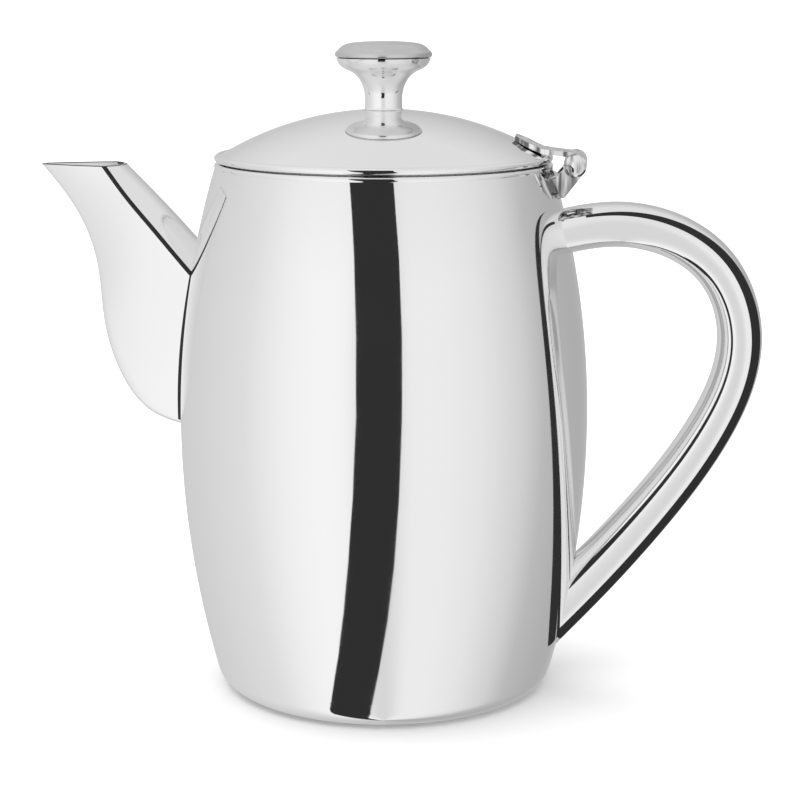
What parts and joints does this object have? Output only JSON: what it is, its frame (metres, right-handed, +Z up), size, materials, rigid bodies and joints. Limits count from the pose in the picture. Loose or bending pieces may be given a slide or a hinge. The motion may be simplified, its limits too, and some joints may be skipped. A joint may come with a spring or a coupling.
{
  "type": "coffee pot",
  "caption": "Polished steel coffee pot with a barrel body, tall pouring spout, hollow loop handle and hinged domed lid with a knob.",
  "frame": {"origin": "centre of the foot ring, on the surface that the pot stands on", "axes": "+Z up along the axis of the barrel, +X towards the handle, -X towards the spout, hinge pin parallel to Y"},
  "size_m": [0.2075, 0.118, 0.1865],
  "materials": {
    "body_mirror": "mirror polished stainless steel outside, satin inside",
    "base_steel": "mirror polished corner and foot, satin underside",
    "spout_mirror": "mirror polished stainless steel",
    "handle_mirror": "mirror polished stainless steel",
    "hinge_steel": "polished stainless steel with fine handling marks",
    "lid_mirror": "mirror polished stainless steel outside, satin inside",
    "inner_satin": "satin stainless steel",
    "knob_mirror": "mirror polished stainless steel",
    "fastener_steel": "plain stainless fastener"
  },
  "bodies": {
    "pot": {"body_shell": "body_mirror", "base_pan": "base_steel", "spout_near_half": "spout_mirror", "spout_far_half": "spout_mirror", "handle_near_half": "handle_mirror", "handle_far_half": "handle_mirror", "hinge_body_bracket": "hinge_steel", "hinge_pin": "hinge_steel", "hinge_pin_cap": "hinge_steel"},
    "lid": {"lid_dome": "lid_mirror", "lid_skirt": "inner_satin", "hinge_lid_strap": "hinge_steel", "knob_stem": "knob_mirror", "knob_cap": "knob_mirror", "knob_washer": "fastener_steel", "knob_screw": "fastener_steel"}
  },
  "joints": [
    {"name": "lid_hinge", "type": "hinge", "parent": "pot", "child": "lid", "pos_m": [0.0544, 0, 0.1526], "axis": [0, 1, 0], "range_deg": [0, 105]}
  ]
}
